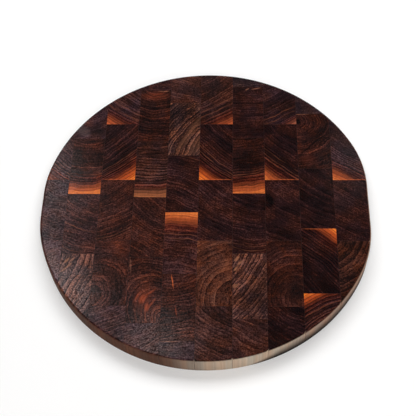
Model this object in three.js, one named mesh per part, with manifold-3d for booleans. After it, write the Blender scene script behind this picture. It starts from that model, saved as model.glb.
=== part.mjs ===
// A round pizza board of end-grain walnut. Blocks stand on end, glued end to end into ten strips,
// and the strips are glued side by side into a blank that is then cut to one rounded outline.
// Millimetres, +Z up. The origin is the centre of the round on the underside. +Y runs along the
// strips, from the front of the board to its back, and +X across them, from strip a to strip j.
import * as THREE from "three";
import { mergeVertices } from "three/addons/utils/BufferGeometryUtils.js";
import Module from "manifold-3d";

// Driving dimensions of the board
const boardThickness = 25;
const overcut = 4.3; // the round's radius past half the blank's width, which leaves a flat on each side
const blankShift = -2.3; // middle of the blank from the centre of the round: the right flat is deeper
const flatBlend = 130; // radius that eases each flat into the round
const edgeRound = 2.5; // round on the top and bottom edges of the rim
const shortestEnd = 12; // a strip never ends in a piece shorter than this

// Driving dimensions of the strips: widths across a strip, block lengths along it
const wideWidth = 39;
const slimWidth = 37;
const rippedWidth = 28.4; // of a wide strip that is ripped down
const wideLength = 80;
const slimLength = 78;

// Where one joint of each strip lies along Y. The strip's other joints follow a block length apart.
const sharedJoint = 32.8; // in line on strips a, c, f, h and j
const jointOfB = 13.5;
const jointOfD = 9.2;
const jointOfE = -10.8;
const jointOfG = 14.5;
const jointOfI = -31.5;

// Driving dimensions of the glue between blocks
const glueFilm = 0.26;
const glueClearance = 0.02; // between the film and each face that it joins

// How finely the round stretches are cut into flats
const facetLength = 6.5;
const edgeRoundFacets = 4;

// Finishes, as the oiled end grain shows them
const finishes = {
  dark: { color: 0x3a2523, roughness: 0.45 },
  brown: { color: 0x4a2d22, roughness: 0.45 },
  figured: { color: 0x5d4439, roughness: 0.4 },
  sapEdged: { color: 0x6e3f25, roughness: 0.42 },
  glue: { color: 0x2c1a14, roughness: 0.6 },
};

// The stocks that strips are cut from
const wide = { width: wideWidth, length: wideLength };
const slim = { width: slimWidth, length: slimLength };
const ripped = { width: rippedWidth, length: wideLength };

// The strips from left to right. front and back give the finish of each block in front of the strip's
// named joint and behind it, counted away from that joint.
const strips = [
  { name: "a", stock: ripped, joint: sharedJoint, front: ["dark", "dark"], back: ["sapEdged"] },
  { name: "b", stock: slim, joint: jointOfB, front: ["dark", "figured"], back: ["sapEdged", "dark"] },
  {
    name: "c",
    stock: wide,
    joint: sharedJoint,
    front: ["dark", "brown", "dark"],
    back: ["sapEdged", "sapEdged"],
  },
  {
    name: "d",
    stock: slim,
    joint: jointOfD,
    front: ["dark", "figured", "dark"],
    back: ["sapEdged", "brown", "dark"],
  },
  {
    name: "e",
    stock: slim,
    joint: jointOfE,
    front: ["sapEdged", "dark", "dark"],
    back: ["dark", "figured", "brown"],
  },
  {
    name: "f",
    stock: wide,
    joint: sharedJoint,
    front: ["dark", "brown", "brown"],
    back: ["sapEdged", "sapEdged"],
  },
  {
    name: "g",
    stock: slim,
    joint: jointOfG,
    front: ["dark", "figured", "brown"],
    back: ["sapEdged", "brown", "dark"],
  },
  {
    name: "h",
    stock: wide,
    joint: sharedJoint,
    front: ["dark", "brown", "dark"],
    back: ["sapEdged", "sapEdged"],
  },
  {
    name: "i",
    stock: wide,
    joint: jointOfI,
    front: ["sapEdged", "sapEdged"],
    back: ["dark", "brown", "dark"],
  },
  { name: "j", stock: wide, joint: sharedJoint, front: ["dark", "brown"], back: ["sapEdged"] },
];

// Sizes that follow from the ones above
const blankWidth = strips.reduce((sum, strip) => sum + strip.stock.width, 0);
const boardRadius = blankWidth / 2 + overcut;
const leftFlat = Math.min(boardRadius, blankWidth / 2 - blankShift); // both from the centre of the round
const rightFlat = Math.min(boardRadius, blankWidth / 2 + blankShift);
const jointGap = glueFilm + 2 * glueClearance;
const cutterReach = 2 * boardRadius + boardThickness; // past the board on every side

const wasm = await Module();
wasm.setup();

// A closed geometry as a solid that can be joined and cut.
function toSolid(geometry) {
  const bare = geometry.clone();
  bare.deleteAttribute("normal");
  bare.deleteAttribute("uv");
  const merged = mergeVertices(bare);
  return new wasm.Manifold(
    new wasm.Mesh({
      numProp: 3,
      vertProperties: merged.attributes.position.array,
      triVerts: new Uint32Array(merged.index.array),
    }),
  );
}

// A solid as a geometry with flat faces.
function toGeometry(solid) {
  const { vertProperties, triVerts } = solid.getMesh();
  const indexed = new THREE.BufferGeometry();
  indexed.setAttribute("position", new THREE.BufferAttribute(vertProperties, 3));
  indexed.setIndex(new THREE.BufferAttribute(triVerts, 1));
  const geometry = indexed.toNonIndexed();
  geometry.computeVertexNormals();
  return geometry;
}

// A square-cut bar that stands through the whole thickness, from one plan corner to the other.
function barBetween(left, front, right, back) {
  const bar = new THREE.BoxGeometry(right - left, back - front, cutterReach);
  return toSolid(bar.translate((left + right) / 2, (front + back) / 2, 0));
}

// Points along an arc, close enough together that it reads as round.
function arcPoints(centreX, centreY, radius, from, to) {
  const facets = Math.max(1, Math.ceil((radius * Math.abs(to - from)) / facetLength));
  return new THREE.EllipseCurve(centreX, centreY, radius, radius, from, to).getPoints(facets);
}

// How a flat at this distance from the centre is eased into the round: the blend's radius, how far its
// centre lies from the middle of the flat, and the angle where it meets the round.
function flatEasing(distance) {
  const radius = Math.min(flatBlend, distance);
  const offset = Math.sqrt((boardRadius - distance) * (boardRadius + distance - 2 * radius));
  return { radius, offset, angle: Math.atan2(offset, distance - radius) };
}

// The board's plan: a round with a deep flat on the right and a shallow one on the left.
function boardOutline() {
  const right = flatEasing(rightFlat);
  const left = flatEasing(leftFlat);
  const rightCentre = rightFlat - right.radius;
  const leftCentre = left.radius - leftFlat;
  const { PI } = Math;
  const points = [
    ...arcPoints(rightCentre, right.offset, right.radius, 0, right.angle),
    ...arcPoints(0, 0, boardRadius, right.angle, PI - left.angle),
    ...arcPoints(leftCentre, left.offset, left.radius, PI - left.angle, PI),
    ...arcPoints(leftCentre, -left.offset, left.radius, PI, PI + left.angle),
    ...arcPoints(0, 0, boardRadius, PI + left.angle, 2 * PI - right.angle),
    ...arcPoints(rightCentre, -right.offset, right.radius, 2 * PI - right.angle, 2 * PI),
  ];
  const sameSpot = facetLength / 1000;
  return points.filter((point, i) => point.distanceTo(points.at(i - 1)) > sameSpot);
}

// The finished board as one solid, before it is parted into blocks.
function boardSolid() {
  const rounded = new THREE.ExtrudeGeometry(new THREE.Shape(boardOutline()), {
    depth: boardThickness - 2 * edgeRound,
    bevelThickness: edgeRound,
    bevelSize: edgeRound,
    bevelOffset: -edgeRound,
    bevelSegments: edgeRoundFacets,
  });
  return toSolid(rounded.translate(0, 0, edgeRound));
}

// How far along Y the round reaches within a strip.
function roundReach(left, right) {
  const nearest = left <= 0 && right >= 0 ? 0 : Math.min(Math.abs(left), Math.abs(right));
  return Math.sqrt(Math.max(0, boardRadius ** 2 - nearest ** 2));
}

// The joints from the strip's named one towards one end, way being -1 for the front and 1 for the back.
// The last stands for the end itself, beyond the rim.
function jointsTowards(way, strip, reach) {
  const joints = [strip.joint];
  let next = strip.joint + way * strip.stock.length;
  while (Math.abs(next) <= reach - shortestEnd) {
    joints.push(next);
    next += way * strip.stock.length;
  }
  return [...joints, way * cutterReach];
}

// The plan corners of each block of a strip on one side of its named joint, every face inset.
function blockPlans(side, strip, left, right, inset) {
  const joints = jointsTowards(side === "front" ? -1 : 1, strip, roundReach(left, right));
  return joints.slice(1).map((joint, i) => {
    const [front, back] = [joint, joints[i]].sort((a, b) => a - b);
    return {
      name: `strip_${strip.name}_${side}_${i + 1}`,
      finish: strip[side][i % strip[side].length],
      corners: [left + inset, front + inset, right - inset, back - inset],
    };
  });
}

function finished(name) {
  return new THREE.MeshStandardMaterial({ name, metalness: 0, ...finishes[name] });
}

const board = new THREE.Group();
board.name = "pizza_board";
const whole = boardSolid();
let glue = whole;
let stripLeft = blankShift - blankWidth / 2;
for (const strip of strips) {
  const stripRight = stripLeft + strip.stock.width;
  // The blank's own two sides have no joint, so the outer strips run out past the rim there.
  const left = strip === strips.at(0) ? -cutterReach : stripLeft;
  const right = strip === strips.at(-1) ? cutterReach : stripRight;
  const group = new THREE.Group();
  group.name = `strip_${strip.name}`;
  board.add(group);
  for (const side of ["front", "back"]) {
    for (const { name, finish, corners } of blockPlans(side, strip, left, right, jointGap / 2)) {
      const mesh = new THREE.Mesh(toGeometry(whole.intersect(barBetween(...corners))), finished(finish));
      mesh.name = name;
      group.add(mesh);
    }
    // What the blocks leave between them is the glue, a little thinner than the gap.
    for (const { corners } of blockPlans(side, strip, left, right, glueFilm / 2)) {
      glue = glue.subtract(barBetween(...corners));
    }
  }
  stripLeft = stripRight;
}

const glueLines = new THREE.Mesh(toGeometry(glue), finished("glue"));
glueLines.name = "glue_lines";
board.add(glueLines);

export default board;
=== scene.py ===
import math

import bmesh
import bpy
from mathutils import Matrix, Vector


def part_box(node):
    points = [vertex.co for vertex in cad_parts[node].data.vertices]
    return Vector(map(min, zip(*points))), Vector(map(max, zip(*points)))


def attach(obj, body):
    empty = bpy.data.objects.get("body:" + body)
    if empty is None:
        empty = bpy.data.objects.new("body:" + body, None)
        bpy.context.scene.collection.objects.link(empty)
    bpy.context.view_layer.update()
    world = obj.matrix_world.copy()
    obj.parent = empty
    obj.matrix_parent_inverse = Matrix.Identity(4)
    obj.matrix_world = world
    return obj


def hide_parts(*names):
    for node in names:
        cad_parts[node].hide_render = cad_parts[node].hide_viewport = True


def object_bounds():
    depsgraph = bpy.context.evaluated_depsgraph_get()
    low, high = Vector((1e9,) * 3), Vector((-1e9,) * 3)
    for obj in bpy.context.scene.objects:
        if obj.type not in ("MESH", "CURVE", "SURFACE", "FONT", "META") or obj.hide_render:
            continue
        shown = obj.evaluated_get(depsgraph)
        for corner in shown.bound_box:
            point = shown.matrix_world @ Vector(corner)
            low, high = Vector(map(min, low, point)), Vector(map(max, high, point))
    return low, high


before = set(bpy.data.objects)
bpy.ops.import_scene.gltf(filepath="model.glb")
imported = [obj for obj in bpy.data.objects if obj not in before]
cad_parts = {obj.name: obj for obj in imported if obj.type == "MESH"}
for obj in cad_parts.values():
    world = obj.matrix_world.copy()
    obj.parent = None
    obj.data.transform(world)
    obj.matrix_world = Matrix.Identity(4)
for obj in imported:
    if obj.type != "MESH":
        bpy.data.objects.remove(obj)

cadLow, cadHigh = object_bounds()
print("frame loaded:", len(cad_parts), "nodes")

perMetre = 1000  # the frame is in metres, and the grain in millimetres


# Shader wiring

class Wire:
    # a socket that can stand in a Python sum; each sum adds a Math node
    def __init__(self, graph, socket):
        self.graph = graph
        self.socket = socket

    def maths(self, operation, *values):
        return self.graph.node("ShaderNodeMath", dict(operation=operation), dict(enumerate(values)))

    def __add__(self, other):
        return self.maths("ADD", self, other)

    def __radd__(self, other):
        return self.maths("ADD", other, self)

    def __sub__(self, other):
        return self.maths("SUBTRACT", self, other)

    def __rsub__(self, other):
        return self.maths("SUBTRACT", other, self)

    def __mul__(self, other):
        return self.maths("MULTIPLY", self, other)

    def __rmul__(self, other):
        return self.maths("MULTIPLY", other, self)

    def __truediv__(self, other):
        return self.maths("DIVIDE", self, other)

    def __abs__(self):
        return self.maths("ABSOLUTE", self)


class Graph:
    # one material's nodes
    def __init__(self, name):
        self.material = bpy.data.materials.new(name)
        self.material.use_nodes = True
        self.tree = self.material.node_tree
        self.tree.nodes.clear()

    # any node: its type, its settings, then the values or links of its sockets
    def node(self, kind, settings=None, sockets=None, out=0):
        made = self.tree.nodes.new(kind)
        for key, value in (settings or {}).items():
            if key == "stops":
                self.setStops(made.color_ramp, value)
            else:
                setattr(made, key, value)
        for key, value in (sockets or {}).items():
            if isinstance(value, Wire):
                self.tree.links.new(value.socket, made.inputs[key])
            else:
                made.inputs[key].default_value = value
        return Wire(self, made.outputs[out]) if len(made.outputs) else None

    def setStops(self, ramp, stops):
        while len(ramp.elements) < len(stops):
            ramp.elements.new(1.0)
        for element, (place, colour) in zip(ramp.elements, stops):
            element.position = place
            element.color = colour

    def mixed(self, factor, first, second):
        settings = dict(data_type="RGBA")
        return self.node("ShaderNodeMix", settings, {0: factor, 6: first, 7: second}, out=2)

    def tinted(self, colour, amount):
        # colour times amount, the same for its three parts
        settings = dict(operation="SCALE")
        return self.node("ShaderNodeVectorMath", settings, {0: colour, "Scale": amount})

    def eased(self, value, low, high):
        # 0 below low, 1 above high, and a soft step between
        settings = dict(interpolation_type="SMOOTHSTEP")
        sockets = {"Value": value, "From Min": low, "From Max": high}
        return self.node("ShaderNodeMapRange", settings, sockets)

    def shift(self, vector, by):
        return self.node("ShaderNodeVectorMath", dict(operation="ADD"), {0: vector, 1: by})

    def stretch(self, vector, by):
        return self.node("ShaderNodeVectorMath", dict(operation="MULTIPLY"), {0: vector, 1: by})

    def axis(self, vector, which):
        return self.node("ShaderNodeSeparateXYZ", None, {0: vector}, out=which)

    def along(self, vector, way):
        # how far the vector runs this way
        settings = dict(operation="DOT_PRODUCT")
        return self.node("ShaderNodeVectorMath", settings, {0: vector, 1: (way.x, way.y, 0)}, out="Value")

    def towards(self, vector, look):
        return self.eased(self.along(vector, look["way"]), look["start"], look["full"])

    def noise(self, vector, grainSize, detail=2.0, out="Fac"):
        # grainSize is the width of one blotch, in the vector's own units
        sockets = {"Vector": vector, "Scale": 1 / grainSize, "Detail": detail, "Roughness": 0.55}
        return self.node("ShaderNodeTexNoise", None, sockets, out=out)

    def surface(self, sockets):
        shader = self.node("ShaderNodeBsdfPrincipled", None, sockets)
        self.node("ShaderNodeOutputMaterial", None, {"Surface": shader})
        return self.material


def srgb(red, green, blue):
    # a colour as it looks on screen, as the shader wants it
    def linear(value):
        value /= 255
        return value / 12.92 if value <= 0.04045 else ((value + 0.055) / 1.055) ** 2.4
    return (linear(red), linear(green), linear(blue), 1.0)


# The board's rim, read from the frame

rim = dict(
    radius=cadHigh.y,
    leftFlat=-cadLow.x,
    rightFlat=cadHigh.x,
    thickness=cadHigh.z,
    flatBlend=0.130,  # radius that eases each flat into the round
    edgeRound=0.0025,  # round on the top and bottom edges
    edgeSteps=8,
    glueClearance=0.000021,  # the blocks grow this much on a glued side, to meet the film
    turns=480,  # points round the rim
    probes=40,  # steps along a block's side when it is tested for glue
    jointInset=0.0003,  # how far inside the outline a glued side has to run
    cutMargin=1e-7,
)


def rimReach(angle, inset):
    # how far the outline lies from the centre in this direction, when drawn in by inset
    flat = rim["rightFlat"] if math.cos(angle) > 0 else rim["leftFlat"]
    blend = rim["flatBlend"]
    across, along = abs(math.cos(angle)), abs(math.sin(angle))
    offset = math.sqrt((rim["radius"] - flat) * (rim["radius"] + flat - 2 * blend))
    centre = flat - blend
    if along * (flat - inset) <= across * offset:
        return (flat - inset) / across
    if math.atan2(along, across) >= math.atan2(offset, centre):
        return rim["radius"] - inset
    nearest = across * centre + along * offset
    return nearest + math.sqrt(nearest ** 2 - centre ** 2 - offset ** 2 + (blend - inset) ** 2)


def wholeBoard():
    # the outline lofted through its rounded edges, from the underside to the serving face
    levels = []
    for step in range(rim["edgeSteps"] + 1):
        turn = math.pi / 2 * step / rim["edgeSteps"]
        levels.append((rim["edgeRound"] * (1 - math.sin(turn)), rim["edgeRound"] * (1 - math.cos(turn))))
    levels = levels[::-1]
    levels += [(rim["thickness"] - z, inset) for z, inset in reversed(levels)]
    mesh = bmesh.new()
    rings = []
    for z, inset in levels:
        ring = []
        for k in range(rim["turns"]):
            angle = 2 * math.pi * (k + 0.5) / rim["turns"]
            reach = rimReach(angle, inset)
            ring.append(mesh.verts.new((reach * math.cos(angle), reach * math.sin(angle), z)))
        rings.append(ring)
    for lower, upper in zip(rings, rings[1:]):
        for k in range(rim["turns"]):
            after = (k + 1) % rim["turns"]
            face = mesh.faces.new((lower[k], lower[after], upper[after], upper[k]))
            face.smooth = True
    mesh.faces.new(rings[0][::-1])
    mesh.faces.new(rings[-1])
    return mesh


def isJoint(start, end):
    # true if this side of a block runs inside the outline, and so is glued to a neighbour
    for k in range(rim["probes"] + 1):
        probe = start.lerp(end, k / rim["probes"])
        if probe.length < rimReach(math.atan2(probe.y, probe.x), rim["jointInset"]):
            return True
    return False


def blockMesh(node, board):
    low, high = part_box(node)
    places = ((low.x, low.y), (high.x, low.y), (high.x, high.y), (low.x, high.y))
    corners = [Vector(place) for place in places]
    outward = (Vector((0, -1, 0)), Vector((1, 0, 0)), Vector((0, 1, 0)), Vector((-1, 0, 0)))
    mesh = board.copy()
    for k, normal in enumerate(outward):
        start, end = corners[k], corners[(k + 1) % 4]
        if not isJoint(start, end):
            continue
        everything = mesh.verts[:] + mesh.edges[:] + mesh.faces[:]
        cut = bmesh.ops.bisect_plane(
            mesh, geom=everything, dist=rim["cutMargin"],
            plane_co=start.to_3d() + normal * rim["glueClearance"], plane_no=normal, clear_outer=True)
        loop = [item for item in cut["geom_cut"] if isinstance(item, bmesh.types.BMEdge)]
        bmesh.ops.contextual_create(mesh, geom=loop)
    bmesh.ops.recalc_face_normals(mesh, faces=mesh.faces[:])
    made = bpy.data.meshes.new(node)
    mesh.to_mesh(made)
    mesh.free()
    return made


# Walnut

tones = dict(
    dark=dict(late=srgb(15, 6, 6), mid=srgb(42, 19, 17), early=srgb(92, 52, 44)),
    plum=dict(late=srgb(17, 8, 9), mid=srgb(45, 24, 24), early=srgb(92, 60, 58)),
    smoky=dict(late=srgb(19, 11, 12), mid=srgb(46, 30, 31), early=srgb(90, 68, 69)),
    brown=dict(late=srgb(19, 9, 7), mid=srgb(53, 27, 22), early=srgb(104, 63, 50)),
    russet=dict(late=srgb(17, 7, 6), mid=srgb(55, 25, 18), early=srgb(108, 57, 40)),
    amber=dict(late=srgb(23, 11, 8), mid=srgb(74, 38, 25), early=srgb(122, 73, 48)),
    figured=dict(late=srgb(18, 10, 10), mid=srgb(62, 36, 30), early=srgb(132, 84, 66)),
    honey=dict(late=srgb(18, 10, 10), mid=srgb(60, 35, 28), early=srgb(136, 87, 64)),
)

# heartwood leans to plum in some patches and to orange in others
casts = dict(cool=(0.9, 0.95, 1.2, 1), warm=(1.2, 0.95, 0.76, 1), blush=(1.6, 0.86, 0.62, 1))

sapTones = dict(
    orange=dict(deep=srgb(66, 25, 12), mid=srgb(130, 57, 23), bright=srgb(176, 90, 36)),
    golden=dict(deep=srgb(70, 24, 9), mid=srgb(138, 55, 15), bright=srgb(196, 100, 26)),
    rust=dict(deep=srgb(62, 24, 14), mid=srgb(108, 46, 22), bright=srgb(148, 68, 33)),
    muted=dict(deep=srgb(56, 25, 19), mid=srgb(84, 40, 29), bright=srgb(118, 63, 44)),
    tan=dict(deep=srgb(56, 28, 18), mid=srgb(98, 53, 31), bright=srgb(126, 71, 40)),
)

# What a block shows. Lengths are in millimetres.
plain = dict(
    tone="dark",
    bark=-90,  # the way from the tree's heart to its bark, in degrees from +X
    heart=120,  # from the tree's heart to the middle of the block
    oval=1.0,  # how much longer the rings are towards the bark than sideways
    ring=2.8,  # from one growth ring to the next
    waver=5.0,  # how far the rings stray
    contrast=0.9,  # of one ring's early and late wood
    streaks=0.72,  # how much the wood changes along a ring
    level=0.45,  # 0 is all latewood, 1 is all earlywood
    flecks=0.75,  # how strong the short flecks along the rings are
    grit=1.25,  # how strong the finest speckle is
    lines=(),  # rings with a pale edge, counted from the middle of the block towards the bark
    sap=0,  # how deep the sapwood reaches in from the outermost corner
    sapTone="orange",
    spots=(),
)

# The grain that all blocks share. Widths are in millimetres.
# Each block's wood lies apart from the others, so no two blocks look the same.
grainLook = dict(
    fibres=(perMetre, perMetre, 50),  # the fibres stand upright, so the wood changes little with height
    apart=(71.3, 37.7),
    yearsApart=17,
    shortestArm=30,  # least distance from the heart at which the marks round it are measured
    spread=dict(pace=0.3, reach=1.4, apart=53, detail=1.0),  # how the rings' widths change
    # places across a ring, and how light it is there
    ringStops=((0, 0.85), (0.12, 0.7), (0.5, 0.55), (0.8, 0.3), (0.93, 0.0), (1, 0.5)),
    late=dict(span=(0.1, 0.6), least=0.25),  # the dark line that ends a ring
    pores=dict(scale=0.7, core=0.12, edge=0.34, depth=0.25),
    stray=dict(at=(0, 0, 0), width=34, detail=3.0, reach=2.4),  # how the rings leave their ovals
    patch=dict(at=(311, 97, 0), width=26, detail=2.0),  # broad light and dark patches
    cast=dict(at=(-190, 233, 0), width=22, detail=3.0),  # warm and cool patches
    hue=dict(at=(55, 140, 0), width=10, detail=2.0),  # the same on the rim's upright face
    grit=dict(at=(77, -41, 0), width=1.5, detail=1.0),  # the finest speckle
    streak=dict(outward=0.6, around=0.07, apart=9.1, detail=3.0),  # long marks along the rings
    mottle=dict(outward=0.62, around=0.3, apart=3.3, detail=2.0),  # short flecks along the rings
    rays=dict(outward=0.1, around=0.8, apart=5.7, detail=2.0),  # fine lines across the rings
)

heartLook = dict(
    mid=0.45,  # the lightness of the middle tone
    grain=dict(year=0.25, patch=0.9),
    contrast=dict(least=0.28, year=0.95),
    castSpan=(0.35, 0.65),
)

# a ring's pale edge
lineLook = dict(colour=srgb(124, 69, 46), width=(0.15, 0.7), breaks=(0.3, 0.7), strength=0.65)

sapLook = dict(
    near=40,  # how far from the sapwood its rings start to stand out, in millimetres
    nearContrast=dict(least=0.8, more=0.8),
    early=dict(span=(0.62, 0.78), least=0.04, year=0.3),
    blush=dict(before=0.7, past=2),  # a share of the sapwood's depth, and millimetres
    edge=dict(before=0.15, past=0.4, ragged=3),
    places=dict(deep=0.05, mid=0.58, bright=1),
    band=0.45,
    streak=0.7,
    late=0.9,
    brightness=1.5,
    grain=dict(mottle=0.8, rays=1.0, grit=0.7),
)

# The rim's upright face is rosy. It turns pale towards the front, which is painted light, and brown
# towards the left and back, which is painted shade. Painted shade also darkens its lower edge, more
# towards the right. Where each starts and is full is counted from the middle, in metres.
wallLook = dict(
    upright=(0.55, 0.95),  # how level a face is where the wall's colour starts to fade, and where it ends
    rosy=dict(dark=srgb(144, 113, 96), light=srgb(196, 163, 141)),
    # painted light: the front of the rim is drawn paler, as if lit
    paintedLight=dict(
        dark=srgb(155, 136, 117), light=srgb(210, 193, 172),
        way=Vector((-0.35, -0.94)), start=0.075, full=0.155),
    # painted shade: the rim is drawn browner towards the left and back, as if turned from the lamps
    brown=dict(
        dark=srgb(62, 40, 32), light=srgb(108, 74, 58),
        way=Vector((-0.87, 0.5)), start=-0.118, full=-0.05),
    # painted shade: the wall's lower edge is drawn dark, as if shaded under its rounded bottom
    foot=dict(
        colour=srgb(26, 19, 17), way=Vector((0.966, -0.259)), start=0.085, full=0.132,
        height=28, least=0.5,  # millimetres
        even=0.8, ragged=0.4, span=(0.1, 1)),
    cool=(0.94, 1.0, 1.06, 1),
    warm=(1.08, 0.97, 0.92, 1),
    grain=dict(patch=0.7, streak=0.6, mottle=0.7, band=0.2),
)

finishLook = dict(
    rough=dict(base=0.42, grain=dict(patch=0.16, grit=0.2), pores=0.06, wall=0.3),
    oil=dict(base=0.56, grain=dict(grit=2.6, mottle=1.4, band=0.4)),
    relief=dict(band=0.25, grit=0.4, pores=-0.8),
    bump={"Strength": 0.35, "Distance": 0.0002},
    polish={"Specular IOR Level": 0.05, "Coat Roughness": 0.165},
)

spotKinds = dict(
    knot=dict(colour=srgb(5, 4, 5), soft=0.5),
    flame=dict(colour=srgb(150, 62, 30), soft=0.75),
    streak=dict(colour=srgb(140, 88, 68), soft=0.6),
    fleck=dict(colour=srgb(150, 95, 66), soft=0.6),
    # painted reflection: a grey patch of sheen drawn into the colour
    paintedSheen=dict(colour=srgb(108, 92, 90), soft=0.5),
    crack=dict(colour=srgb(190, 90, 40), soft=0.5),
    shade=dict(colour=srgb(18, 10, 10), soft=1.0),
)

spotLook = dict(waver=0.25, late=0.8, least=0.4, mottle=1.2)


def spot(kind, x, y, across, along, turn=0, strength=0.8):
    return dict(kind=kind, x=x, y=y, across=across, along=along, turn=turn, strength=strength)


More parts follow.
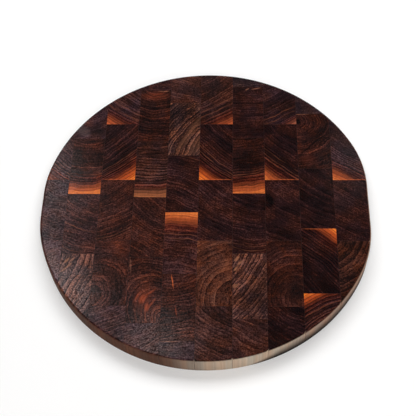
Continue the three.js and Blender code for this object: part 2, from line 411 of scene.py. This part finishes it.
blocks = dict(
    strip_a_back_1=dict(
        tone="plum", bark=-130, heart=180, ring=3.3, waver=3, sap=13, sapTone="muted", level=0.47,
        contrast=0.7, lines=(14, 20)),
    strip_a_front_1=dict(tone="plum", bark=-110, heart=140, contrast=0.5, level=0.46),
    strip_a_front_2=dict(tone="plum", bark=125, heart=120, contrast=0.7, level=0.66),
    strip_b_back_2=dict(
        tone="plum", bark=-70, heart=110, contrast=0.6, level=0.5,
        spots=(spot("shade", -131, 102, 11, 6, -15, 0.9),
               # a painted reflection: a grey patch of sheen beside the dark one
               spot("paintedSheen", -150, 103, 10, 6, -45, 0.2))),
    strip_b_back_1=dict(
        tone="russet", bark=-90, heart=58, ring=3.8, sap=18, level=0.22, contrast=0.6, lines=(8, 12.5),
        spots=(spot("shade", -136, 87, 13, 1.8, 4, 0.9),)),
    strip_b_front_1=dict(tone="dark", bark=-112, heart=85, level=0.48, contrast=0.6, lines=(8, 33)),
    strip_b_front_2=dict(
        tone="figured", bark=-28, heart=150, ring=6.5, waver=5, level=0.45, contrast=1.2, flecks=0.9,
        spots=(spot("fleck", -152, -73, 4, 1.2, 50, 0.6),
               spot("fleck", -149, -79, 3.5, 1.1, 50, 0.5),
               spot("fleck", -154, -84, 4, 1.2, 50, 0.5),
               spot("fleck", -146, -72, 3, 1.0, 50, 0.45))),
    strip_c_back_2=dict(
        tone="plum", bark=-125, heart=200, ring=3.4, waver=3, sap=15, sapTone="rust", level=0.37,
        lines=(2, 11)),
    strip_c_back_1=dict(
        tone="dark", bark=-47, heart=210, ring=3.2, waver=3, sap=20, sapTone="golden", level=0.22,
        contrast=0.85, lines=(10, 17), spots=(spot("crack", -100, 33.6, 19, 0.5, 0, 0.7),)),
    strip_c_front_1=dict(tone="russet", bark=-62, heart=120, contrast=0.6, level=0.32, lines=(30, 34)),
    strip_c_front_2=dict(
        tone="russet", bark=54, heart=36, ring=4.4, oval=1.3, waver=4, contrast=0.5, level=0.3,
        spots=(spot("shade", -120, -112, 2, 5, 0, 0.5),
               spot("flame", -97, -57, 12, 9, -40, 0.07))),
    strip_c_front_3=dict(tone="plum", bark=-68, heart=120, contrast=0.6, level=0.46),
    strip_d_back_3=dict(tone="dark", bark=-90, heart=110, contrast=0.5, level=0.36),
    strip_d_back_2=dict(
        tone="russet", bark=-90, heart=55, ring=3.8, level=0.17,
        spots=(spot("flame", -66, 157, 14, 5, 5, 0.28),
               spot("streak", -55, 163.5, 6, 0.6, 0, 0.8))),
    strip_d_back_1=dict(
        tone="brown", bark=-90, heart=220, ring=4.0, waver=4, sap=14, sapTone="tan", level=0.27,
        contrast=1.2,
        spots=(spot("knot", -66, 74.5, 17, 0.9, -3, 0.75),
               spot("knot", -63, 70, 15, 0.8, 4, 0.75))),
    strip_d_front_1=dict(tone="russet", bark=-125, heart=150, contrast=0.6, level=0.34),
    strip_d_front_2=dict(
        tone="russet", bark=122, heart=46, ring=2.9, oval=1.6, waver=3.5, contrast=0.85, level=0.35,
        spots=(spot("flame", -65, -118, 9, 13, -15, 0.16),
               spot("flame", -66, -119, 3, 4.5, -30, 0.75),
               spot("flame", -61.5, -129, 2.2, 4, -10, 0.65),
               spot("flame", -72.5, -116, 1.2, 7, -25, 0.5),
               spot("flame", -59, -112, 1.2, 7, -50, 0.4),
               spot("flame", -56, -124, 1.0, 6, -30, 0.4),
               spot("streak", -82, -78, 0.9, 8, 5, 0.35))),
    strip_d_front_3=dict(tone="plum", bark=-60, heart=120, contrast=0.6, level=0.48),
    strip_e_back_3=dict(tone="brown", bark=-110, heart=150, contrast=0.5, level=0.42),
    strip_e_back_2=dict(
        tone="honey", bark=146, heart=150, ring=4.6, waver=4.5, level=0.29, contrast=1.2,
        streaks=0.9, flecks=1.0,
        spots=(spot("fleck", -15, 80, 7, 16, -35, 0.14),
               spot("fleck", -22, 99, 4, 28, -28, 0.2))),
    strip_e_back_1=dict(tone="dark", bark=70, heart=90, contrast=0.85, level=0.31, lines=(36,)),
    strip_e_front_1=dict(
        tone="dark", bark=84, heart=75, ring=3.4, sap=21, level=0.45, contrast=0.5, lines=(4, 10, 16)),
    strip_e_front_2=dict(
        tone="russet", bark=-78, heart=130, ring=3.6, waver=7, contrast=0.7, level=0.28,
        spots=(spot("crack", -35, -98, 0.5, 7, 8, 0.9),
               spot("flame", -30, -133, 0.7, 5, 10, 0.4))),
    strip_e_front_3=dict(
        tone="plum", bark=-90, heart=120, contrast=0.5, level=0.42,
        spots=(spot("streak", -36, -167.6, 8, 0.6, 0, 0.7),)),
    strip_f_back_2=dict(
        tone="brown", bark=-56, heart=200, ring=3.4, waver=3, sap=14, sapTone="rust", level=0.3,
        contrast=0.8, lines=(8, 15)),
    strip_f_back_1=dict(
        tone="dark", bark=-133, heart=210, ring=3.2, waver=3, sap=18, sapTone="golden", level=0.18,
        contrast=0.7, lines=(8, 13, 18), spots=(spot("crack", 12, 33.6, 16, 0.5, 0, 0.6),)),
    strip_f_front_1=dict(tone="dark", bark=-124, heart=140, contrast=0.6, level=0.34),
    strip_f_front_2=dict(
        tone="amber", bark=130, heart=52, ring=4.8, oval=1.2, waver=3, contrast=0.6, flecks=0.7,
        level=0.35),
    strip_f_front_3=dict(tone="brown", bark=-118, heart=120, ring=4.2, contrast=0.6, level=0.31),
    strip_g_back_3=dict(tone="smoky", bark=-90, heart=110, contrast=0.5, level=0.2),
    strip_g_back_2=dict(
        tone="dark", bark=-90, heart=90, contrast=0.6, level=0.28,
        spots=(spot("streak", 47, 166, 2.5, 0.8, 30, 0.7),
               spot("streak", 58, 167.5, 5, 0.8, 15, 0.7))),
    strip_g_back_1=dict(
        tone="russet", bark=-82, heart=110, ring=4.0, waver=4, sap=19.5, level=0.16, contrast=0.7,
        lines=(12,)),
    strip_g_front_1=dict(tone="dark", bark=-102, heart=100, contrast=0.55, level=0.28, lines=(28, 33)),
    strip_g_front_2=dict(
        tone="figured", bark=-34, heart=190, ring=3.8, waver=3.5, level=0.4, contrast=1.1, flecks=1.05,
        spots=(spot("fleck", 34, -70, 3.5, 1.4, 45, 0.75),
               spot("fleck", 37.5, -75, 3.5, 1.2, 45, 0.7),
               spot("fleck", 33, -82, 3, 1.3, 50, 0.7),
               spot("fleck", 33, -103, 3, 1.5, 45, 0.7),
               spot("shade", 58, -116, 13, 24, -20, 0.45))),
    strip_g_front_3=dict(tone="brown", bark=-118, heart=120, ring=3.8, contrast=0.6, level=0.4),
    strip_h_back_2=dict(
        tone="plum", bark=-58, heart=200, ring=3.4, waver=4, sap=8, sapTone="muted", level=0.29,
        contrast=0.8, lines=(14, 20)),
    strip_h_back_1=dict(
        tone="dark", bark=-133, heart=210, ring=3.2, waver=3, sap=16.5, level=0.18, contrast=0.65,
        lines=(9, 15, 19),
        spots=(spot("crack", 92, 33.6, 14, 0.5, 0, 0.6),)),
    strip_h_front_1=dict(
        tone="dark", bark=-122, heart=120, contrast=0.55, level=0.3,
        spots=(spot("knot", 71, 5, 4.5, 9, 10, 0.95),)),
    strip_h_front_2=dict(
        tone="russet", bark=116, heart=36, ring=5.0, oval=1.15, waver=4, contrast=0.7, flecks=0.6,
        level=0.31,
        spots=(spot("shade", 97, -109, 12, 13, 0, 0.95),)),
    strip_h_front_3=dict(
        tone="dark", bark=-120, heart=120, contrast=0.7, level=0.18,
        spots=(spot("shade", 76, -168, 9, 4, 10, 0.8),)),
    strip_i_back_3=dict(tone="smoky", bark=-90, heart=120, contrast=0.4, level=0.36),
    strip_i_back_2=dict(
        tone="russet", bark=-58, heart=34, ring=3.2, contrast=0.75, level=0.22,
        spots=(spot("knot", 107.5, 117, 3, 5, 0, 0.9),
               spot("streak", 112, 128, 8, 0.5, 0, 0.6),
               spot("knot", 122, 82, 17, 1.3, 42, 0.75),
               spot("flame", 117, 62, 8, 6, 0, 0.1),
               spot("knot", 142, 67, 2.5, 5, 0, 0.7))),
    strip_i_back_1=dict(tone="dark", bark=-122, heart=120, waver=4, contrast=0.45, level=0.2),
    strip_i_front_1=dict(
        tone="dark", bark=47, heart=230, ring=3.2, waver=3, sap=16.5, sapTone="golden", level=0.1,
        contrast=0.8,
        spots=(spot("crack", 118, -32.2, 10, 0.5, 0, 0.5),)),
    strip_i_front_2=dict(
        tone="plum", bark=120, heart=120, ring=3.4, waver=3, sap=15.5, sapTone="golden",
        level=0.26, contrast=1.0, lines=(6,)),
    strip_j_back_1=dict(
        tone="plum", bark=-125, heart=200, ring=3.4, waver=3, sap=16.5, level=0.35, contrast=0.7,
        spots=(spot("crack", 165, 33.6, 18, 0.5, 0, 0.5),)),
    strip_j_front_1=dict(
        tone="dark", bark=-120, heart=140, contrast=0.55, level=0.36,
        spots=(spot("knot", 158, 21, 2, 3, 0, 0.6),
               spot("shade", 150, 4, 8, 20, 0, 0.4))),
    strip_j_front_2=dict(
        tone="amber", bark=-50, heart=80, ring=4.4, waver=4, contrast=0.6, flecks=0.8, level=0.12),
)


def spotMask(g, plan, waver, mark):
    # 1 inside an oval mark, fading out past its edge
    turn = math.radians(mark["turn"])
    placed = g.shift(g.shift(plan, waver), (-mark["x"], -mark["y"], 0))
    u = g.along(placed, Vector((math.cos(turn), math.sin(turn)))) / mark["across"]
    v = g.along(placed, Vector((-math.sin(turn), math.cos(turn)))) / mark["along"]
    soft = spotKinds[mark["kind"]]["soft"]
    square = u * u + v * v
    return (1 - g.eased(square.maths("SQRT", square), 1 - soft, 1 + soft)) * mark["strength"]


def cutFrom(node, look):
    # where the block's wood grew, in millimetres: the tree's heart, the way to its bark, and how far out
    # the block's outermost corner lies
    low, high = (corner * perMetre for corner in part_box(node))
    bark = math.radians(look["bark"])
    way = Vector((math.cos(bark), math.sin(bark)))
    heart = (low.to_2d() + high.to_2d()) / 2 - way * look["heart"]
    corners = [Vector((x, y)) - heart for x in (low.x, high.x) for y in (low.y, high.y)]
    across = way.orthogonal()
    reaches = [math.hypot(corner.dot(way) / look["oval"], corner.dot(across)) for corner in corners]
    return heart, way, max(reaches)


def blotches(g, fibres, kind, out="Fac"):
    return g.noise(g.shift(fibres, kind["at"]), kind["width"], kind["detail"], out=out)


def ringMarks(g, reach, arc, kind, seed):
    # marks drawn out round the tree's heart, or away from it
    sockets = {0: reach * kind["outward"], 1: arc * kind["around"], 2: seed * kind["apart"]}
    return g.noise(g.node("ShaderNodeCombineXYZ", None, sockets), 1, kind["detail"])


def grainOf(g, look, seed, heart, way):
    here = g.node("ShaderNodeTexCoord", out="Object")
    apart = Vector(grainLook["apart"]) * seed
    fibres = g.shift(g.stretch(here, grainLook["fibres"]), (apart.x, apart.y, 0))
    plan = g.stretch(here, (perMetre, perMetre, 0))

    # where a point lies in the tree: out from its heart, and round it
    stray = g.shift(blotches(g, fibres, grainLook["stray"], out="Color"), (-0.5, -0.5, -0.5))
    farthest = look["waver"] * grainLook["stray"]["reach"]
    waver = g.stretch(stray, (farthest, farthest, 0))
    tree = g.shift(g.shift(plan, waver), (-heart.x, -heart.y, 0))
    outward, sideways = g.along(tree, way) / look["oval"], g.along(tree, way.orthogonal())
    reach = outward.maths("SQRT", outward * outward + sideways * sideways)
    arc = sideways.maths("ARCTAN2", sideways, outward) * max(look["heart"], grainLook["shortestArm"])

    # growth rings: each starts pale and darkens to a late line
    spread = grainLook["spread"]
    wander = g.node("ShaderNodeTexNoise", dict(noise_dimensions="1D"), {
        "W": reach + seed * spread["apart"],
        "Scale": spread["pace"] / look["ring"],
        "Detail": spread["detail"],
    })
    rings = reach / look["ring"] + wander * spread["reach"]
    stops = [(place, (level, level, level, 1)) for place, level in grainLook["ringStops"]]
    band = g.axis(g.node("ShaderNodeValToRGB", dict(stops=stops), {0: rings.maths("FRACT", rings)}), 0)
    count = rings.maths("FLOOR", rings) + seed * grainLook["yearsApart"]
    year = g.node("ShaderNodeTexWhiteNoise", dict(noise_dimensions="1D"), {"W": count}, out="Value")
    late = grainLook["late"]

    pores = grainLook["pores"]
    poreSockets = {"Vector": fibres, "Scale": pores["scale"]}
    fromPore = g.node("ShaderNodeTexVoronoi", None, poreSockets, out="Distance")
    return dict(
        here=here,
        plan=plan,
        waver=waver,
        reach=reach,
        arc=arc,
        band=band,
        year=year,
        late=(1 - g.eased(band, *late["span"])) * (late["least"] + (1 - late["least"]) * year),
        pores=1 - g.eased(fromPore, pores["core"], pores["edge"]),
        **{name: ringMarks(g, reach, arc, grainLook[name], seed) for name in ("streak", "mottle")},
        **{name: blotches(g, fibres, grainLook[name]) for name in ("patch", "cast", "hue", "grit")},
    )


def weighed(grain, base, strengths):
    # the base, raised and lowered by each kind of grain about its middle
    for name, strength in strengths.items():
        base = base + (grain[name] - 0.5) * strength
    return base


def heartwood(g, look, grain, contrast):
    tone = tones[look["tone"]]
    lightness = weighed(grain, look["level"] + (grain["band"] - 0.5) * contrast, dict(
        heartLook["grain"], streak=look["streaks"], mottle=look["flecks"], grit=look["grit"]))
    stops = ((0, tone["late"]), (heartLook["mid"], tone["mid"]), (1, tone["early"]))
    colour = g.node("ShaderNodeValToRGB", dict(stops=stops), {0: lightness})
    toWarm = g.eased(grain["cast"], *heartLook["castSpan"])
    colour = g.stretch(colour, g.mixed(toWarm, casts["cool"], casts["warm"]))
    for offset in look["lines"]:
        away = abs(grain["reach"] - (look["heart"] + offset) / look["oval"])
        line = (1 - g.eased(away, *lineLook["width"])) * g.eased(grain["streak"], *lineLook["breaks"])
        colour = g.mixed(line * lineLook["strength"], colour, lineLook["colour"])
    return colour


def withSapwood(g, look, grain, colour, start, near):
    # sapwood from this far out, with redder heartwood beside it
    tone, sap, contrast = sapTones[look["sapTone"]], look["sap"], look["contrast"]
    blush, early, edge = sapLook["blush"], sapLook["early"], sapLook["edge"]
    reach, band, streak = grain["reach"], grain["band"], grain["streak"] - 0.5
    reddened = g.eased(reach, start - sap * blush["before"], start + blush["past"])
    colour = g.stretch(colour, g.mixed(reddened, (1, 1, 1, 1), casts["blush"]))
    yearly = early["least"] + early["year"] * grain["year"]
    colour = g.mixed(g.eased(band, *early["span"]) * near * yearly * contrast, colour, tone["mid"])

    depth = (reach - start) / sap + (band - 0.5) * sapLook["band"] * contrast + streak * sapLook["streak"]
    stops = [(place, tone[name]) for name, place in sapLook["places"].items()]
    darker = grain["late"] * sapLook["late"] * contrast
    brightness = weighed(grain, sapLook["brightness"], sapLook["grain"]) - darker
    sapwood = g.tinted(g.node("ShaderNodeValToRGB", dict(stops=stops), {0: depth}), brightness)
    ragged = reach + streak * edge["ragged"]
    inSap = g.eased(ragged, start - sap * edge["before"], start + sap * edge["past"])
    return g.mixed(inSap, colour, sapwood)


def withSpots(g, look, grain, colour):
    # the rings' late lines and the flecks break up each spot
    waver = g.stretch(grain["waver"], (spotLook["waver"], spotLook["waver"], 0))
    flecked = spotLook["least"] + spotLook["mottle"] * grain["mottle"]
    whole = (1 - grain["late"] * spotLook["late"]) * flecked
    for mark in look["spots"]:
        mask = spotMask(g, grain["plan"], waver, mark) * whole
        colour = g.mixed(mask, colour, spotKinds[mark["kind"]]["colour"])
    return colour


def wallColour(g, grain):
    # the rim's upright face is long grain, with painted light and painted shade round it and on its lower
    # edge
    light = weighed(grain, 0.5, wallLook["grain"])
    rosy, foot = wallLook["rosy"], wallLook["foot"]
    colour = g.mixed(light, rosy["dark"], rosy["light"])
    # painted light turns the front pale, then painted shade turns the left and back brown
    for shade in (wallLook["paintedLight"], wallLook["brown"]):
        turned = g.mixed(light, shade["dark"], shade["light"])
        colour = g.mixed(g.towards(grain["here"], shade), colour, turned)
    toWarm = g.eased(grain["hue"], *heartLook["castSpan"])
    colour = g.stretch(colour, g.mixed(toWarm, wallLook["cool"], wallLook["warm"]))
    # painted shade darkens the wall's lower edge, higher towards the right
    ragged = foot["even"] + foot["ragged"] * grain["patch"]
    footShadeTop = g.towards(grain["here"], foot) * foot["height"] * ragged + foot["least"]
    aboveFootShade = g.eased(g.axis(grain["here"], 2) * perMetre / footShadeTop, *foot["span"])
    return g.mixed(aboveFootShade, foot["colour"], colour)


def walnut(node, look, seed):
    g = Graph(node)
    heart, way, outermost = cutFrom(node, look)
    grain = grainOf(g, look, seed, heart, way)
    yearly = heartLook["contrast"]
    contrast = look["contrast"] * (yearly["least"] + yearly["year"] * grain["year"])
    if look["sap"]:
        start = outermost - look["sap"]
        near = g.eased(grain["reach"], start - sapLook["near"], start)
        nearby = sapLook["nearContrast"]
        grain["rays"] = ringMarks(g, grain["reach"], grain["arc"], grainLook["rays"], seed)
        colour = heartwood(g, look, grain, contrast * (nearby["least"] + nearby["more"] * near))
        colour = withSapwood(g, look, grain, colour, start, near)
    else:
        colour = heartwood(g, look, grain, contrast)
    colour = g.tinted(withSpots(g, look, grain, colour), 1 - grainLook["pores"]["depth"] * grain["pores"])

    normal = g.node("ShaderNodeNewGeometry", out="Normal")
    upright = 1 - g.eased(abs(g.axis(normal, 2)), *wallLook["upright"])
    rough, oil = finishLook["rough"], finishLook["oil"]
    roughness = weighed(grain, rough["base"], rough["grain"]) + grain["pores"] * rough["pores"]
    relief = {"Height": weighed(grain, 0, finishLook["relief"]), **finishLook["bump"]}
    return g.surface({
        "Base Color": g.mixed(upright, colour, wallColour(g, grain)),
        "Roughness": roughness + upright * rough["wall"],
        "Normal": g.node("ShaderNodeBump", None, relief),
        "Coat Weight": weighed(grain, oil["base"], oil["grain"]) * (1 - upright),
        **finishLook["polish"],
    })


board = wholeBoard()
for seed, (node, given) in enumerate(blocks.items()):
    piece = bpy.data.objects.new(node + "_wood", blockMesh(node, board))
    bpy.context.scene.collection.objects.link(piece)
    piece.data.materials.append(walnut(node, {**plain, **given}, seed + 1))
    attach(piece, "root")
    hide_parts(node)
board.free()
print("blocks made:", len(blocks))


# Glue lines keep their own solid

glueLook = dict(
    dark=srgb(20, 11, 10),
    light=srgb(48, 29, 24),
    blotch=6,  # millimetres
    roughness=0.6,
    shine=0.2,
)


def glueFinish():
    g = Graph("glue")
    here = g.stretch(g.node("ShaderNodeTexCoord", out="Object"), (perMetre, perMetre, perMetre))
    colour = g.mixed(g.noise(here, glueLook["blotch"]), glueLook["dark"], glueLook["light"])
    return g.surface({
        "Base Color": colour,
        "Roughness": glueLook["roughness"],
        "Specular IOR Level": glueLook["shine"],
    })


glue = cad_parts["glue_lines"]
glue.data.materials.clear()
glue.data.materials.append(glueFinish())
print("glue lines finished")


# Floor, light and camera

stageLook = dict(
    reach=4.0,  # from the middle to the backdrop
    height=1.6,
    colour=(0.97, 0.97, 0.97, 1.0),
    whiteness=0.25,  # how far it is seen as plain white
    sides=96,
)


def stageFinish():
    g = Graph("paleStage")
    lit = g.node("ShaderNodeBsdfDiffuse", None, {"Color": stageLook["colour"]})
    white = g.node("ShaderNodeEmission", None, {"Color": (1, 1, 1, 1), "Strength": 1.0})
    camera = g.node("ShaderNodeLightPath", out="Is Camera Ray")
    glossy = g.node("ShaderNodeLightPath", out="Is Glossy Ray")
    glass = g.node("ShaderNodeLightPath", out="Is Transmission Ray")
    seen = camera.maths("MAXIMUM", camera, glossy.maths("MAXIMUM", glossy, glass))
    shader = g.node("ShaderNodeMixShader", None, {0: seen * stageLook["whiteness"], 1: lit, 2: white})
    g.node("ShaderNodeOutputMaterial", None, {"Surface": shader})
    return g.material


def makeStage():
    # a round floor with a low backdrop all round
    mesh = bmesh.new()
    reach, sides = stageLook["reach"], stageLook["sides"]
    angles = [2 * math.pi * k / sides for k in range(sides)]
    foot = [mesh.verts.new((reach * math.cos(angle), reach * math.sin(angle), 0)) for angle in angles]
    head = [mesh.verts.new((corner.co.x, corner.co.y, stageLook["height"])) for corner in foot]
    mesh.faces.new(foot)
    for k in range(sides):
        after = (k + 1) % sides
        mesh.faces.new((foot[after], foot[k], head[k], head[after]))
    made = bpy.data.meshes.new("stage")
    mesh.to_mesh(made)
    mesh.free()
    stage = bpy.data.objects.new("stage", made)
    bpy.context.scene.collection.objects.link(stage)
    stage.data.materials.append(stageFinish())


# a lamp that shines is seen only in the oil, and the others light only the wood's own colour
lamps = dict(
    frontKey=dict(
        at=(0.1, -1.15, 1.2), size=(0.9, 0.9), watts=13,
        colour=(1, 0.98, 0.96), shines=False),
    leftSheen=dict(
        at=(-0.49, 0.76, 0.88), size=(0.16, 0.5), watts=0.5,
        colour=(1, 0.98, 1), shines=True),
    cornerSheen=dict(
        at=(-0.405, 0.3, 0.88), size=(0.2, 0.22), watts=0.58,
        colour=(1, 0.96, 0.97), shines=True),
    lowSheen=dict(
        at=(-0.17, 0.045, 0.88), size=(0.42, 0.12), watts=0.33,
        colour=(1, 0.97, 0.97), shines=True),
    rightSheen=dict(
        at=(0.38, 0.78, 0.88), size=(0.14, 0.36), watts=0.12,
        colour=(0.94, 0.97, 1), shines=True),
    backSheen=dict(
        at=(-0.1, 1.0, 0.88), size=(0.6, 0.15), watts=0.12,
        colour=(0.9, 0.96, 1), shines=True),
    backFill=dict(
        at=(0.05, 0.72, 1.4), size=(2.0, 0.8), watts=26,
        colour=(1, 1, 1), shines=False),
)


def makeLamp(name, lamp):
    light = bpy.data.lights.new(name, "AREA")
    light.shape = "RECTANGLE"
    light.size, light.size_y = lamp["size"]
    light.energy = lamp["watts"]
    light.color = lamp["colour"]
    holder = bpy.data.objects.new(name, light)
    holder.location = lamp["at"]
    holder.rotation_euler = (-Vector(lamp["at"])).to_track_quat("-Z", "Y").to_euler()
    holder.visible_camera = False
    holder.visible_glossy = lamp["shines"]
    holder.visible_diffuse = not lamp["shines"]
    bpy.context.scene.collection.objects.link(holder)


def makeWorld(strength):
    world = bpy.data.worlds.new("softRoom")
    world.use_nodes = True
    world.node_tree.nodes["Background"].inputs["Color"].default_value = (1, 1, 1, 1)
    world.node_tree.nodes["Background"].inputs["Strength"].default_value = strength
    bpy.context.scene.world = world


roomLight = 0.03

# Where the picture was taken from, aimed at the middle of the serving face; angles in degrees
view = dict(
    azimuth=3.31,
    elevation=58.23,
    roll=2.705,
    distance=1.01018,
    lens=77.06,  # millimetres
    sensor=36,
    shift=(0.00308, -0.0092),
)


def makeCamera():
    turn, lift, roll = (math.radians(view[key]) for key in ("azimuth", "elevation", "roll"))
    back = Vector((math.cos(lift) * math.sin(turn), -math.cos(lift) * math.cos(turn), math.sin(lift)))
    right = Vector((math.cos(turn), math.sin(turn), 0))
    up = back.cross(right)
    tilted = (math.cos(roll) * right - math.sin(roll) * up, math.sin(roll) * right + math.cos(roll) * up)
    axes = Matrix((*tilted, back)).transposed().to_4x4()
    lens = bpy.data.cameras.new("camera")
    lens.lens = view["lens"]
    lens.sensor_width = view["sensor"]
    lens.shift_x, lens.shift_y = view["shift"]
    camera = bpy.data.objects.new("camera", lens)
    aim = Vector((0, 0, rim["thickness"]))
    camera.matrix_world = Matrix.Translation(aim + back * view["distance"]) @ axes
    bpy.context.scene.collection.objects.link(camera)
    bpy.context.scene.camera = camera


makeStage()
for name, lamp in lamps.items():
    makeLamp(name, lamp)
makeWorld(roomLight)
makeCamera()
bpy.context.scene.view_settings.view_transform = "Standard"
print("stage set")
